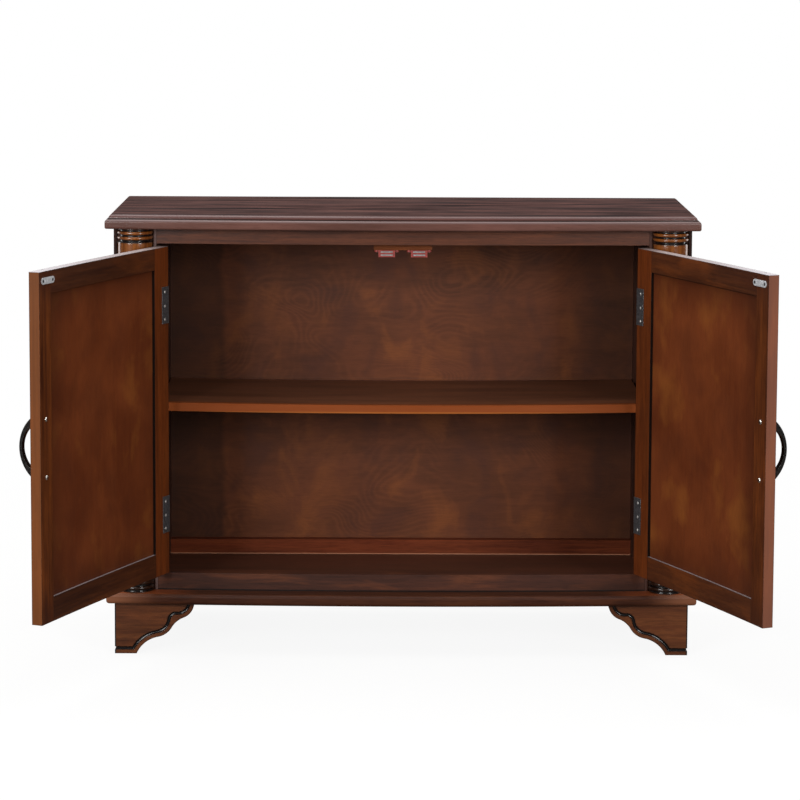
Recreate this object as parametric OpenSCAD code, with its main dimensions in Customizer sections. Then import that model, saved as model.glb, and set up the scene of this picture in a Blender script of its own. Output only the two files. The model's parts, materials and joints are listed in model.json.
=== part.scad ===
// Bow-front entryway cabinet: a low two-door hall cabinet with turned half columns,
// one shelf and scroll-cut bracket feet. Lengths are millimetres and angles are degrees.
// Z is up. X runs across the front, and the front looks towards -Y.
// Inside the modules Y = 0 is the front of the posts beside the doors, and set_down()
// moves the whole cabinet so that the row's origin is under the middle of its box.

/* [Case] */
// Width of the case over its side panels
case_w = 1014; // [940:1:1200]
// Depth of the case, from the front of the posts to its back
case_d = 326; // [260:1:450]
// Height of the case between the base moulding and the top
case_h = 646; // [520:1:800]
// Thickness of the side panels
side_t = 16; // [12:1:22]
// Thickness of the back panel
back_t = 6; // [4:1:10]
// How far the back panel is set in from the back of the case
back_inset = 9; // [3:1:12]
// Depth of the grooves that hold panels
groove_d = 6; // [4:1:8]
// Thickness of the bottom panel
bottom_t = 12; // [9:1:18]

/* [Front] */
// Radius of the bowed front
bow_r = 7600; // [4000:100:20000]
// Height of the rail over the doors
top_rail_h = 28; // [20:0.5:50]
// Height of the rail under the doors
bottom_rail_h = 30.5; // [20:0.5:60]
// Thickness of the front rails at their ends
rail_t = 12; // [10:1:25]
// Thickness of the two rails across the back
back_rail_t = 18; // [12:1:25]
// Height of those rails
back_rail_h = 28; // [20:1:60]
// Depth of the four corner posts
post_d = 50; // [40:1:70]
// Width of the flat strip between a column and the opening
jamb_w = 6; // [5:0.5:12]
// Width of the flat strip between a column and the side of the case
strip_w = 5.6; // [3:0.1:12]
// How far the flat backs of the columns lie behind the strips
column_back = 2; // [1:0.5:6]

/* [Column] */
// Radius of the beads at both ends of a column
column_r = 31.5; // [26:0.5:34]
// How far the shaft lies inside the beads
shaft_in = 1; // [0.5:0.5:3]
// Height of one bead
bead_h = 6; // [4:0.2:8]
// Height of the grooves next to the beads
bead_gap = 3; // [1:0.2:4]
// Number of beads at each end
beads = 2; // [1:1:4]
// Depth of those grooves
bead_groove = 4.5; // [2:0.5:6]
// Height of the plain neck at each end
neck_h = 2; // [1:0.5:8]
// Radius of the shaft's rounded shoulders
shoulder_r = 3; // [1:0.5:4]

/* [Top] */
// Thickness of the top board
top_t = 25; // [23:1:32]
// How far the top stands over the case at each side
top_over = 13; // [8:1:30]
// How far the top stands in front of the rails
top_front = 35; // [34:1:50]
// How far the top passes the back of the case
top_rear = 3; // [0:1:20]
// Radius of the small moulding next to the flat of the top
ovolo_r = 6; // [3:0.5:7]
// Height of the small step under that moulding
edge_step = 2; // [1:0.5:2.5]
// Width of the flat ledge on that step
edge_ledge = 1; // [0.5:0.5:4]
// Radius of the edge below the step
edge_r = 5.5; // [2:0.5:6]
// Radius of the lower edge of the top
under_r = 3.5; // [2:0.5:5]

/* [Base] */
// Height of the feet
foot_h = 92.5; // [89:0.5:120]
// Length of a bracket foot along the front or the side
foot_w = 141; // [135:1:150]
// Thickness of the bracket feet
foot_t = 20; // [14:1:26]
// How far the feet stand in front of the jamb strips
foot_front = 15; // [8:1:20]
// How far the feet stand out at each side of the case
foot_side = 1; // [0:0.5:5]
// Length of the pad that a foot stands on
pad_w = 38.5; // [30:0.5:42]
// Radius of the hollow beside the pad
cove_r = 52; // [46:1:54]
// How far the centre of that hollow lies under the floor
cove_drop = 21; // [18:1:24]
// Radius of the middle swell of the scroll
swell_r = 36; // [32:1:38]
// Angle from the hollow's centre to the swell's, off the upright
swell_lean = 10.5; // [8:0.5:13]
// Radius of the hollow between the two swells
valley_r = 40; // [30:1:60]
// Radius of the upper swell of the scroll
crown_r = 29.5; // [26:0.5:31]
// Distance from the scroll's edge to its cut line
line_in = 7; // [5:0.5:10]
// Width of the cut line
line_w = 5.5; // [2:0.5:6]
// Depth of the cut line
line_d = 2.4; // [1:0.2:4]
// Radius that the hollow between the swells has for the cut line
line_hollow_r = 2.5; // [1:0.5:40]
// Size of the glue blocks inside the feet
block_w = 42; // [30:1:60]
// How far the glue blocks stay above the floor
block_lift = 30; // [20:1:50]
// Thickness of the base moulding
mould_t = 20; // [18:1:30]
// How far the base moulding stands out at each side
mould_over = 14.5; // [8:0.5:30]
// How far the base moulding stands in front of the rails
mould_front = 35; // [34:1:50]
// Width of the base moulding's strips
mould_w = 60; // [50:1:80]
// Radius of the moulding's upper edge
mould_top_r = 7; // [3:0.5:9]
// Radius of the moulding's lower edge
mould_low_r = 6.5; // [2:0.5:8]

/* [Shelf] */
// Thickness of the shelf
shelf_t = 15; // [12:1:22]
// Height of the shelf's top over the top of the base moulding
shelf_up = 332; // [150:1:450]
// Distance from the front of the posts to the front of the shelf
shelf_front = 26; // [24:1:60]
// Gap between the shelf and the back panel
shelf_rear = 3; // [1:1:40]
// Gap between each end of the shelf and the posts
shelf_side = 1.5; // [0.5:0.5:4]
// How far the shelf sags in the middle
shelf_sag = 4; // [1:0.5:8]
// Radius of a shelf pin
pin_r = 2.5; // [2:0.1:4]
// Length of a pin in its post
pin_in = 12; // [8:1:20]
// Length of a pin under the shelf
pin_out = 9; // [6:1:14]
// Distance from the shelf's edges to the pins
pin_edge = 16; // [12:1:24]

/* [Doors] */
// Thickness of the doors
door_t = 19; // [17:0.5:20]
// Gap between a door and its jamb strip
hinge_gap = 1.8; // [1:0.1:3]
// Gap between the two closed doors
meet_gap = 2; // [1.5:0.1:4]
// Gap over the doors
gap_over = 3.5; // [2:0.5:6]
// Gap under the doors
gap_under = 3; // [1:0.5:6]
// Width of a door's stile at the hinges
hinge_stile_w = 47; // [35:1:80]
// Width of a door's stile at the handle
meet_stile_w = 38; // [34:1:80]
// Height of a door's top rail
door_top_h = 38; // [32:1:80]
// Height of a door's bottom rail
door_bottom_h = 41; // [30:1:90]
// Depth of the panel's recess in the outer face
recess_out = 5.5; // [5:0.5:7]
// Depth of the panel's recess in the inner face
recess_in = 4.5; // [3:0.5:6]
// Length of the tongue of a panel or a rail in its groove
tongue = 7; // [5:0.5:10]
// Clearance round the tongues and the set-in plates
seat_gap = 0.15; // [0.1:0.05:0.4]
// Radius of the cove round the outer face's panel
cove_edge_r = 4.5; // [2:0.5:5]
// How far the doors stand open at rest
open_angle = 112.7; // [95:0.1:140]

/* [Hinges] */
// Height of a hinge
hinge_h = 65; // [45:0.5:90]
// Distance from a door's upper end to its upper hinge
hinge_end = 70; // [40:1:100]
// Distance from a door's lower end to its lower hinge
hinge_low_end = 74.5; // [40:0.5:100]
// Thickness of the hinge leaves
leaf_t = 1.2; // [0.8:0.1:1.6]
// Width of the leaf that wraps onto the door's inner face
leaf_w = 22; // [16:0.5:28]
// Outer radius of the hinge knuckles
knuckle_r = 3; // [2.5:0.1:3.5]
// Radius of the hinge pins
hinge_pin_r = 1.3; // [1:0.1:1.6]
// Radial clearance of the pins in the door's knuckles
pin_gap = 0.05; // [0.02:0.01:0.09]
// Number of knuckles in a hinge
knuckles = 5; // [3:2:7]
// Gap between two knuckles
knuckle_gap = 0.4; // [0.3:0.1:0.8]
// Clearance between a knuckle and the faces of the door and the jamb
knuckle_clear = 0.3; // [0.2:0.1:1]
// Radius of the hinge screws' heads
screw_r = 2.6; // [2:0.1:3]
// Height of the hinge screws' heads
screw_head = 0.7; // [0.4:0.1:1]
// Radius of the hinge screws' shanks
shank_r = 1.4; // [1:0.1:1.8]
// Length of the hinge screws' shanks
shank_l = 11; // [6:1:14]

/* [Handles] */
// Distance between the screws of a handle
handle_pitch = 96; // [64:1:128]
// How far the handles stand out from the doors
handle_reach = 30; // [26:0.5:34]
// Width of the finger gap behind a handle
handle_gap = 24.5; // [20:0.5:26]
// Length of a handle along the door beyond its screws, at each end
handle_tip = 7; // [5:0.5:9]
// Length of a handle's seat on the door
handle_seat = 14.5; // [12.5:0.5:18]
// Width of a handle
handle_w = 9; // [8:0.5:14]
// Number of reeds along a handle
reeds = 3; // [3:1:7]
// Height of the middle of a handle over the middle of the door
handle_up = 0; // [-60:1:60]
// Radius of the handle screws' heads
handle_screw_r = 4; // [3:0.1:5]

/* [Catches] */
// Distance between the middles of the two magnetic catches
catch_pitch = 57; // [50:1:72]
// Width of a catch's case
catch_w = 29; // [24:1:34]
// Radius of a catch's rounded ears
ear_r = 4.2; // [3.4:0.1:6]
// Thickness of a catch's ears
ear_t = 3.5; // [2:0.5:5]
// Height of a catch under its block
catch_h = 12; // [11:0.5:18]
// Depth of a catch
catch_d = 16; // [12:1:22]
// Gap between a closed door's plate and its catch
catch_gap = 0.4; // [0.3:0.1:1]
// Thickness of the strike plates
strike_t = 1.4; // [1:0.1:2]
// Length of a strike plate
strike_w = 42; // [36:1:48]
// Height of a strike plate
strike_h = 11; // [8:0.5:14]
// Width of the wood block that carries the catches
rest_w = 103; // [100:1:140]
// Depth of that block
rest_d = 26; // [24:1:40]
// How far that block hangs below the rail over the doors
rest_drop = 11.5; // [8:0.5:14]

/* [Hidden] */
$fn = 48;
// Steps in a full turn of the large front curves
bow_fn = 1440;
// Flat steps across the front rails and the shelf
bow_steps = 48;
// A hair of length that lets cuts run past the faces they cut
hair = 0.5;
// Radius of the cutter for the feet's line, and how far past level its last arc runs, in degrees
cutter_r = (line_w * line_w / 4 + line_d * line_d) / (2 * line_d);
run_out = 2;
// How much wider the line is where two of its arcs join, so that their ends merge
joint_more = 0.03;
// Clearance between a column and the strips beside it
column_gap = 0.2;

rail_wood = [0.35, 0.22, 0.18];
case_wood = [0.33, 0.19, 0.13];
door_wood = [0.42, 0.22, 0.11];
back_wood = [0.38, 0.23, 0.15];
iron = [0.23, 0.23, 0.24];
bronze = [0.13, 0.11, 0.10];
nickel = [0.78, 0.77, 0.74];
plastic = [0.52, 0.25, 0.22];

base_top = foot_h + mould_t;
case_top = base_top + case_h;
bottom_z = base_top;
half_w = case_w / 2;
column_x = half_w - strip_w - column_gap - column_r;
post_x = column_x - column_r - column_gap;
open_x = post_x - jamb_w;
bow_cy = sqrt(bow_r * bow_r - open_x * open_x);
rear_post_y = case_d - post_d;
back_y = case_d - back_inset - back_t;

door_low = base_top + bottom_rail_h + gap_under;
door_high = case_top - top_rail_h - gap_over;
door_mid = (door_low + door_high) / 2;
edge_x = open_x - hinge_gap;
free_x = meet_gap / 2;
pane_left = -edge_x + hinge_stile_w;
pane_right = -free_x - meet_stile_w;
pane_low = door_low + door_bottom_h;
pane_high = door_high - door_top_h;

pivot_x = open_x - hinge_gap / 2;
pivot_y = -knuckle_r - knuckle_clear;
hinge_zs = [door_low + hinge_low_end, door_high - hinge_end - hinge_h];
knuckle_h = (hinge_h - (knuckles - 1) * knuckle_gap) / knuckles;

handle_x = -free_x - meet_stile_w / 2;
handle_z = door_mid + handle_up;
handle_half = handle_pitch / 2 + handle_tip;
handle_out_r = (handle_half * handle_half + handle_reach * handle_reach) / (2 * handle_reach);
grip_half = handle_half - handle_seat;
handle_in_r = (grip_half * grip_half + handle_gap * handle_gap) / (2 * handle_gap);

shelf_z = base_top + shelf_up;
rest_z = case_top - top_rail_h - rest_drop;
catch_x = catch_pitch / 2;
catch_z = rest_z - ear_t - (catch_h - ear_t) / 2;
catch_y = inner_y(catch_x) + strike_t + catch_gap;

// The open doors' foremost corners set the front of the cabinet's box.
corner_u = pivot_x - free_x;
corner_v = front_y(free_x) + door_t - pivot_y;
front_reach = pivot_y - corner_u * sin(open_angle) + corner_v * cos(open_angle);
row_y = -(front_reach + case_d + top_rear) / 2;

// Y of the bowed front at a distance x from the middle
function front_y(x) = bow_cy - sqrt(bow_r * bow_r - x * x);

// Y of the closed doors' inner face at a distance x from the middle
function inner_y(x) = bow_cy - sqrt(pow(bow_r - door_t, 2) - x * x);

module set_down() {
    translate([0, row_y, 0]) children();
}

// Both hands of a shape that is drawn for the left side
module hand(right) {
    mirror([right ? 1 : 0, 0, 0]) children();
}

// A piece of the left door, drawn closed, swings to where the door rests
module on_door(right) {
    set_down() hand(right) translate([-pivot_x, pivot_y, 0]) rotate([0, 0, -open_angle])
        translate([pivot_x, -pivot_y, 0]) children();
}

// Plan of everything behind a bowed line, out in front of the rails by "out"
module bow_plan(out) {
    translate([0, bow_cy]) circle(r = bow_r + out, $fn = bow_fn);
}

// A box from one corner to another
module span(low, high) {
    translate(low) cube(high - low);
}

// The waste outside a rounded corner whose tip is at the origin, solid towards -x and +y
module round_off(r) {
    difference() {
        translate([-r, -hair]) square([r + hair, r + hair]);
        translate([-r, r]) circle(r = r);
    }
}

// A slab with one edge section run along the bowed front and both sides, made as two halves
// that meet at x = 0. The children draw the section: its outer edge is at x = 0, and it is
// solid towards -x.
module edged_slab(out, side, rear) {
    half_sweep = asin(1.2 * side / bow_r);
    for (right = [false, true]) hand(right) mirror([1, 0, 0]) intersection() {
        translate([0, bow_cy, 0]) rotate([0, 0, 270])
            rotate_extrude(angle = half_sweep, $fn = bow_fn) translate([bow_r + out, 0]) children();
        translate([0, rear, 0]) rotate([90, 0, 0]) linear_extrude(rear + 2 * side) intersection() {
            translate([side, 0]) children();
            square([2 * side, side]);
        }
    }
}

module top_section() {
    difference() {
        translate([-half_w - top_over - 1, 0]) square([half_w + top_over + 1, top_t]);
        round_off(under_r);
        step_x = edge_r + edge_ledge;
        low_z = top_t - ovolo_r - edge_step;
        translate([0, low_z]) mirror([0, 1]) round_off(edge_r);
        translate([-step_x, low_z]) square([step_x + hair, top_t]);
        translate([-step_x, top_t]) mirror([0, 1]) round_off(ovolo_r);
    }
}

module mould_section() {
    difference() {
        translate([-half_w - mould_over - 1, 0]) square([half_w + mould_over + 1, mould_t]);
        round_off(mould_low_r);
        translate([0, mould_t]) mirror([0, 1]) round_off(mould_top_r);
    }
}

module top_board() {
    color(rail_wood) set_down() translate([0, 0, case_top])
        edged_slab(top_front, half_w + top_over, case_d + top_rear) top_section();
}

// The whole base moulding before it is cut into its three strips
module mould_slab() {
    translate([0, 0, foot_h]) edged_slab(mould_front, half_w + mould_over, case_d) mould_section();
}

mould_x = half_w + mould_over;
mould_in_x = mould_x - mould_w;
mould_in_y = mould_w - mould_front;

// The front strip carries the moulding round both corners, and the side strips meet its back.
module front_moulding() {
    color(rail_wood) set_down() intersection() {
        mould_slab();
        span([-2 * mould_x, -mould_x, 0], [2 * mould_x, mould_in_y, base_top + hair]);
    }
}

module side_moulding(right) {
    color(rail_wood) set_down() hand(right) intersection() {
        mould_slab();
        span([-2 * mould_x, mould_in_y, 0], [-mould_in_x, 2 * case_d, base_top + hair]);
    }
}

module left_moulding() { side_moulding(false); }
module right_moulding() { side_moulding(true); }

// A front rail: bowed in front, flat behind
module front_rail(low, high) {
    bow = [for (i = [0 : bow_steps]) open_x * (2 * i / bow_steps - 1)];
    color(rail_wood) set_down() translate([0, 0, low]) linear_extrude(high - low)
        polygon(concat([for (x = bow) [x, front_y(x)]], [[open_x, rail_t], [-open_x, rail_t]]));
}

module top_front_rail() { front_rail(case_top - top_rail_h, case_top); }
module bottom_front_rail() { front_rail(base_top, base_top + bottom_rail_h); }

module back_rail(low, high) {
    color(case_wood) set_down() span([-open_x, back_y - back_rail_t, low], [open_x, back_y, high]);
}

module top_back_rail() { back_rail(case_top - back_rail_h, case_top); }
module bottom_back_rail() { back_rail(bottom_z, bottom_z + back_rail_h); }

module side_panel(right) {
    color(case_wood) set_down() hand(right)
        span([-half_w, column_back + post_d, base_top], [-half_w + side_t, rear_post_y, case_top]);
}

module left_side_panel() { side_panel(false); }
module right_side_panel() { side_panel(true); }

module back_panel() {
    tongue_x = open_x + groove_d - seat_gap;
    color(back_wood) set_down() span([-tongue_x, back_y, bottom_z], [tongue_x, back_y + back_t, case_top]);
}

module bottom_panel() {
    color(back_wood) set_down() span([-mould_in_x, mould_in_y, bottom_z - bottom_t],
        [mould_in_x, case_d, bottom_z]);
}

// Bores for the shelf pins, drawn at the left side
module pin_bores() {
    for (y = pin_ys) translate([-open_x - pin_in, y, pin_z])
        rotate([0, 90, 0]) cylinder(r = pin_r, h = pin_in + pin_out);
}

shelf_back = back_y - shelf_rear;
pin_ys = [shelf_front + pin_edge, shelf_back - pin_edge];
// The shelf bends down from its ends, so it rests on the inner ends of the pins.
pin_z = shelf_z - shelf_t - sag(open_x - pin_out) - pin_r;

// A front post: the block behind the column, the jamb strip beside it and the strip at the
// side of the case. The jamb is let in for the hinge leaves.
module front_post(right) {
    color(case_wood) set_down() hand(right) difference() {
        union() {
            span([-half_w, column_back, base_top], [-open_x, column_back + post_d, case_top]);
            span([-post_x, 0, base_top], [-open_x, column_back + hair, case_top]);
            span([-half_w, 0, base_top], [-half_w + strip_w, column_back + hair, case_top]);
        }
        pin_bores();
        for (z = hinge_zs) span([-open_x - leaf_t, -hair, z - seat_gap],
            [-open_x + hair, door_t + seat_gap, z + hinge_h + seat_gap]);
        jamb_screw_set(seat_gap);
    }
}

module left_front_post() { front_post(false); }
module right_front_post() { front_post(true); }

module rear_post(right) {
    color(case_wood) set_down() hand(right) difference() {
        span([-half_w, rear_post_y, base_top], [-open_x, case_d, case_top]);
        pin_bores();
        span([-open_x - groove_d, back_y - seat_gap, base_top - hair],
            [-open_x + hair, back_y + back_t + seat_gap, case_top + hair]);
    }
}

module left_rear_post() { rear_post(false); }
module right_rear_post() { rear_post(true); }

// Half of a turned column's outline, from its foot at 0 to case_h: a neck, beads between
// grooves and a rounded shoulder at each end of the shaft
module column_section() {
    pitch = bead_h + bead_gap;
    ends = neck_h + bead_gap + beads * pitch;
    shaft = column_r - shaft_in;
    square([column_r - bead_groove, case_h]);
    for (z = [0, case_h - neck_h]) translate([0, z]) square([shaft, neck_h]);
    translate([0, ends + shoulder_r]) square([shaft, case_h - 2 * (ends + shoulder_r)]);
    translate([0, ends]) square([shaft - shoulder_r, case_h - 2 * ends]);
    for (z = [ends + shoulder_r, case_h - ends - shoulder_r])
        translate([shaft - shoulder_r, z]) circle(r = shoulder_r);
    for (i = [0 : beads - 1]) {
        bead_z = neck_h + bead_gap + i * pitch + bead_h / 2;
        for (z = [bead_z, case_h - bead_z]) {
            translate([column_r - bead_h / 2, z]) circle(r = bead_h / 2);
            translate([0, z - bead_h / 2]) square([column_r - bead_h / 2, bead_h]);
        }
    }
}

module half_column(right) {
    color(door_wood) set_down() hand(right) translate([-column_x, column_back, base_top])
        rotate([0, 0, 180]) rotate_extrude(angle = 180, $fn = 96) column_section();
}

module left_column() { half_column(false); }
module right_column() { half_column(true); }

cove_at = [pad_w + sqrt(cove_r * cove_r - cove_drop * cove_drop), -cove_drop];
swell_at = cove_at + (cove_r + swell_r) * [-sin(swell_lean), cos(swell_lean)];
crown_at = [foot_w - crown_r, foot_h];

// Centre of the hollow of radius r that touches both swells
function hollow_at(r) = touching(swell_at, swell_r + r, crown_at, crown_r + r);

// The point to the right of the line from a to b that is ra from a and rb from b
function touching(a, ra, b, rb) =
    let (far = norm(b - a), along = (far * far + ra * ra - rb * rb) / (2 * far),
        ahead = (b - a) / far)
    a + along * ahead + sqrt(ra * ra - along * along) * [ahead[1], -ahead[0]];

// Outline of a bracket foot. X runs from the outer corner along the base, and Y is the
// height over the floor. Four arcs that touch make the scroll: a hollow, a swell, a
// second hollow and the crown.
module scroll() {
    valley_at = hollow_at(valley_r);
    difference() {
        intersection() {
            square([foot_w, foot_h]);
            union() {
                polygon([[0, -cove_drop], cove_at, swell_at, [swell_at[0], foot_h], [0, foot_h]]);
                polygon([swell_at, valley_at, crown_at, [swell_at[0], foot_h]]);
                translate(swell_at) circle(r = swell_r);
                translate(crown_at) circle(r = crown_r);
            }
        }
        translate(cove_at) circle(r = cove_r);
        translate(valley_at) circle(r = valley_r);
    }
}

// Direction from a to b in the plane of the scroll, in degrees
function bearing(a, b) = atan2(b[1] - a[1], b[0] - a[0]);

// The point of the circle of radius r about "at" that lies in a direction
function along_arc(at, r, way) = at + r * [cos(way), sin(way)];

// Round cutter along an arc of radius r about "at", between two directions
module bent_cutter(at, r, from, to) {
    translate([at[0], line_d - cutter_r, at[1]]) rotate([90, 0, 0]) rotate([0, 0, from])
        rotate_extrude(angle = to - from, $fn = 96) translate([r, 0]) circle(r = cutter_r);
}

// The line cut along the scroll with a round cutter: a straight stretch over the pad, and
// an arc beside each arc of the scroll, with a ball at each joint. The arc in the second hollow is
// tighter than the scroll's own.
module scroll_line() {
    middle = line_in + line_w / 2;
    hollow = hollow_at(line_hollow_r);
    turn = 180 - asin((middle + cove_drop) / (cove_r + middle));
    turn_x = cove_at[0] + (cove_r + middle) * cos(turn);
    up = bearing(cove_at, swell_at);
    over = bearing(swell_at, hollow);
    down = bearing(crown_at, hollow);
    translate([-hair, line_d - cutter_r, middle]) rotate([0, 90, 0])
        cylinder(r = cutter_r, h = turn_x + hair, $fn = 96);
    bent_cutter(cove_at, cove_r + middle, up, turn);
    bent_cutter(swell_at, swell_r - middle, up - 180, over);
    bent_cutter(hollow, line_hollow_r + middle, down + 180, over + 180);
    bent_cutter(crown_at, crown_r - middle, down, run_out);
    for (joint = [[turn_x, middle], along_arc(cove_at, cove_r + middle, up),
            along_arc(swell_at, swell_r - middle, over), along_arc(crown_at, crown_r - middle, down)])
        translate([joint[0], line_d - cutter_r, joint[1]]) sphere(r = cutter_r + joint_more, $fn = 96);
}

// One arm of a bracket foot with its outer end at the origin. It runs along +X and its
// face looks towards -Y.
module foot_arm() {
    difference() {
        translate([0, foot_t, 0]) rotate([90, 0, 0]) linear_extrude(foot_t) scroll();
        scroll_line();
    }
}

// An arm whose outer end is mitred for the arm round the corner
module corner_arm() {
    intersection() {
        foot_arm();
        linear_extrude(foot_h) polygon([[0, 0], [foot_w, 0], [foot_w, foot_t], [foot_t, foot_t]]);
    }
}

foot_x = half_w + foot_side;

module front_foot(right) {
    color(rail_wood) set_down() hand(right) translate([-foot_x, -foot_front, 0]) corner_arm();
}

module left_front_foot() { front_foot(false); }
module right_front_foot() { front_foot(true); }

// The side arm of the front foot and the rear foot behind it
module side_feet(right) {
    color(rail_wood) set_down() hand(right) {
        translate([-foot_x, -foot_front, 0]) mirror([1, -1, 0]) corner_arm();
        translate([-foot_x, case_d, 0]) rotate([0, 0, -90]) foot_arm();
    }
}

module left_side_feet() { side_feet(false); }
module right_side_feet() { side_feet(true); }

// Glue blocks in the corners of the four feet
module foot_blocks() {
    block_x = foot_x - foot_t;
    block_ys = [foot_t - foot_front, case_d - block_w];
    color(back_wood) set_down() for (right = [false, true]) hand(right) for (y = block_ys)
        span([-block_x, y, block_lift], [-block_x + block_w, y + block_w, foot_h]);
}

// How far the shelf lies below its ends at a distance x from the middle
function sag(x) = shelf_sag * (1 - pow(x / (open_x - shelf_side), 2));

// The shelf sags a little in the middle, as a long loaded shelf does
module shelf() {
    reach = open_x - shelf_side;
    bend = [for (i = [0 : bow_steps]) reach * (2 * i / bow_steps - 1)];
    color(door_wood) set_down() translate([0, shelf_back, shelf_z]) rotate([90, 0, 0])
        linear_extrude(shelf_back - shelf_front) polygon(concat([for (x = bend) [x, -sag(x)]],
            [for (x = bend) [-x, -shelf_t - sag(x)]]));
}

module shelf_pins() {
    color(nickel) set_down() for (right = [false, true]) hand(right) for (y = pin_ys)
        translate([-open_x - pin_in, y, pin_z]) rotate([0, 90, 0]) {
            cylinder(r = pin_r - seat_gap / 3, h = pin_in + pin_out);
            translate([0, 0, pin_in]) cylinder(r = pin_r, h = pin_out);
        }
}

// Wood block under the top that carries the two catches
module catch_block() {
    color(case_wood) set_down()
        span([-rest_w / 2, rail_t, rest_z], [rest_w / 2, rail_t + rest_d, case_top]);
}

module catch_case(x) {
    difference() {
        union() {
            span([x - catch_w / 2, catch_y, rest_z - catch_h], [x + catch_w / 2, catch_y + catch_d, rest_z]);
            for (s = [-1, 1]) translate([x + s * ear_x, ear_y, rest_z - ear_t]) cylinder(r = ear_r, h = ear_t);
            span([x - ear_x, ear_y - ear_r, rest_z - ear_t], [x + ear_x, ear_y + ear_r, rest_z]);
        }
        for (z = magnet_zs) span([x - magnet_w / 2 - seat_gap, catch_y - hair, z - plate_t / 2 - seat_gap],
            [x + magnet_w / 2 + seat_gap, catch_y + catch_d - 2, z + plate_t / 2 + seat_gap]);
        for (s = [-1, 1]) translate([x + s * ear_x, ear_y, rest_z - ear_t - hair])
            cylinder(r = shank_r + seat_gap, h = ear_t + 2 * hair);
    }
}

// Where the screws of a catch stand, off its middle, so that their heads clear its case
ear_x = catch_w / 2 + screw_r + seat_gap;
ear_y = catch_y + catch_d / 2;
plate_t = 2;
magnet_w = catch_w * 0.72;
magnet_zs = [rest_z - catch_h * 0.7, rest_z - catch_h * 0.24];

module catch_cases() {
    color(plastic) set_down() for (s = [-1, 1]) catch_case(s * catch_x);
}

// The steel pole plates in the catches
module catch_magnets() {
    color(iron) set_down() for (s = [-1, 1]) for (z = magnet_zs)
        span([s * catch_x - magnet_w / 2, catch_y - catch_gap / 4, z - plate_t / 2],
            [s * catch_x + magnet_w / 2, catch_y + catch_d - 2 - seat_gap, z + plate_t / 2]);
}

module catch_screws() {
    color(nickel) set_down() for (s = [-1, 1]) for (t = [-1, 1])
        translate([s * catch_x + t * ear_x, ear_y, rest_z - ear_t]) {
            translate([0, 0, -screw_head]) cylinder(r1 = screw_r * 0.6, r2 = screw_r, h = screw_head);
            cylinder(r = shank_r, h = ear_t);
        }
}

// Where knuckle i of a hinge at height z begins
function knuckle_z(z, i) = z + i * (knuckle_h + knuckle_gap);

// The knuckles of one leaf: every other one, from the first or the second
module knuckle_row(z, first, bore) {
    translate([-pivot_x, pivot_y, 0]) for (i = [first : 2 : knuckles - 1])
        translate([0, 0, knuckle_z(z, i)]) difference() {
            cylinder(r = knuckle_r, h = knuckle_h);
            translate([0, 0, -hair]) cylinder(r = bore, h = knuckle_h + 2 * hair);
        }
}

// The tabs that join a leaf to its knuckles
module knuckle_tabs(z, first, x) {
    difference() {
        for (i = [first : 2 : knuckles - 1])
            span([x, pivot_y, knuckle_z(z, i)], [x + leaf_t, 0.1, knuckle_z(z, i) + knuckle_h]);
        translate([-pivot_x, pivot_y, z - hair]) cylinder(r = knuckle_r - 0.4, h = hinge_h + 2 * hair);
    }
}

screw_zs = [0.12, 0.48, 0.86];

module jamb_leaves(right) {
    color(iron) set_down() hand(right) for (z = hinge_zs) {
        difference() {
            union() {
                span([-open_x - leaf_t, 0, z], [-open_x, door_t, z + hinge_h]);
                knuckle_tabs(z, 0, -open_x - leaf_t);
            }
            for (s = screw_zs) translate([-open_x - leaf_t - hair, door_t * 0.55, z + s * hinge_h])
                rotate([0, 90, 0]) cylinder(r = shank_r + seat_gap, h = leaf_t + 2 * hair);
        }
        knuckle_row(z, 0, hinge_pin_r);
    }
}

module left_jamb_leaves() { jamb_leaves(false); }
module right_jamb_leaves() { jamb_leaves(true); }

// The screws that hold the jamb leaves, drawn at the left side
module jamb_screw_set(extra) {
    for (z = hinge_zs) for (s = screw_zs)
        translate([-open_x, door_t * 0.55, z + s * hinge_h]) rotate([0, -90, 0]) {
            cylinder(r = shank_r + extra, h = jamb_w + 4);
            if (extra == 0) translate([0, 0, -hinge_gap / 4]) cylinder(r = screw_r, h = hinge_gap / 4);
        }
}

module jamb_screws() {
    color(nickel) set_down() for (right = [false, true]) hand(right) jamb_screw_set(0);
}

// The pins have a small button at each end
module hinge_pins() {
    color(iron) set_down() for (right = [false, true]) hand(right) for (z = hinge_zs)
        translate([-pivot_x, pivot_y, z]) {
            cylinder(r = hinge_pin_r, h = hinge_h);
            for (end = [-1.2, hinge_h]) translate([0, 0, end]) cylinder(r = knuckle_r * 0.8, h = 1.2);
        }
}

// Plan of the closed left door between two depths from its outer face
module door_plan(from, to) {
    difference() {
        bow_plan(-from);
        bow_plan(-to);
    }
}

// A slab of the closed left door
module door_slab(x1, x2, z1, z2, from, to) {
    translate([0, 0, z1]) linear_extrude(z2 - z1) intersection() {
        door_plan(from, to);
        translate([x1, -bow_r / 20]) square([x2 - x1, bow_r / 10]);
    }
}

// The cove that runs round the panel on the outer face, with mitred corners
module pane_cove() {
    left_y = front_y(pane_left);
    right_y = front_y(pane_right);
    sweep = 2 * asin(open_x / bow_r);
    intersection() {
        translate([0, 0, door_low]) linear_extrude(door_high - door_low) {
            translate([pane_left, left_y]) circle(r = cove_edge_r);
            translate([pane_right, right_y]) circle(r = cove_edge_r);
            translate([pane_left, -door_t - bow_r / 100])
                square([pane_right - pane_left, 2 * door_t + bow_r / 50]);
        }
        translate([0, bow_cy, 0]) rotate([0, 0, 270 - sweep / 2])
            rotate_extrude(angle = sweep / 2, $fn = bow_fn) {
                translate([bow_r, pane_low]) circle(r = cove_edge_r);
                translate([bow_r, pane_high]) circle(r = cove_edge_r);
                translate([bow_r - door_t, pane_low]) square([2 * door_t, pane_high - pane_low]);
            }
    }
}

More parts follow.
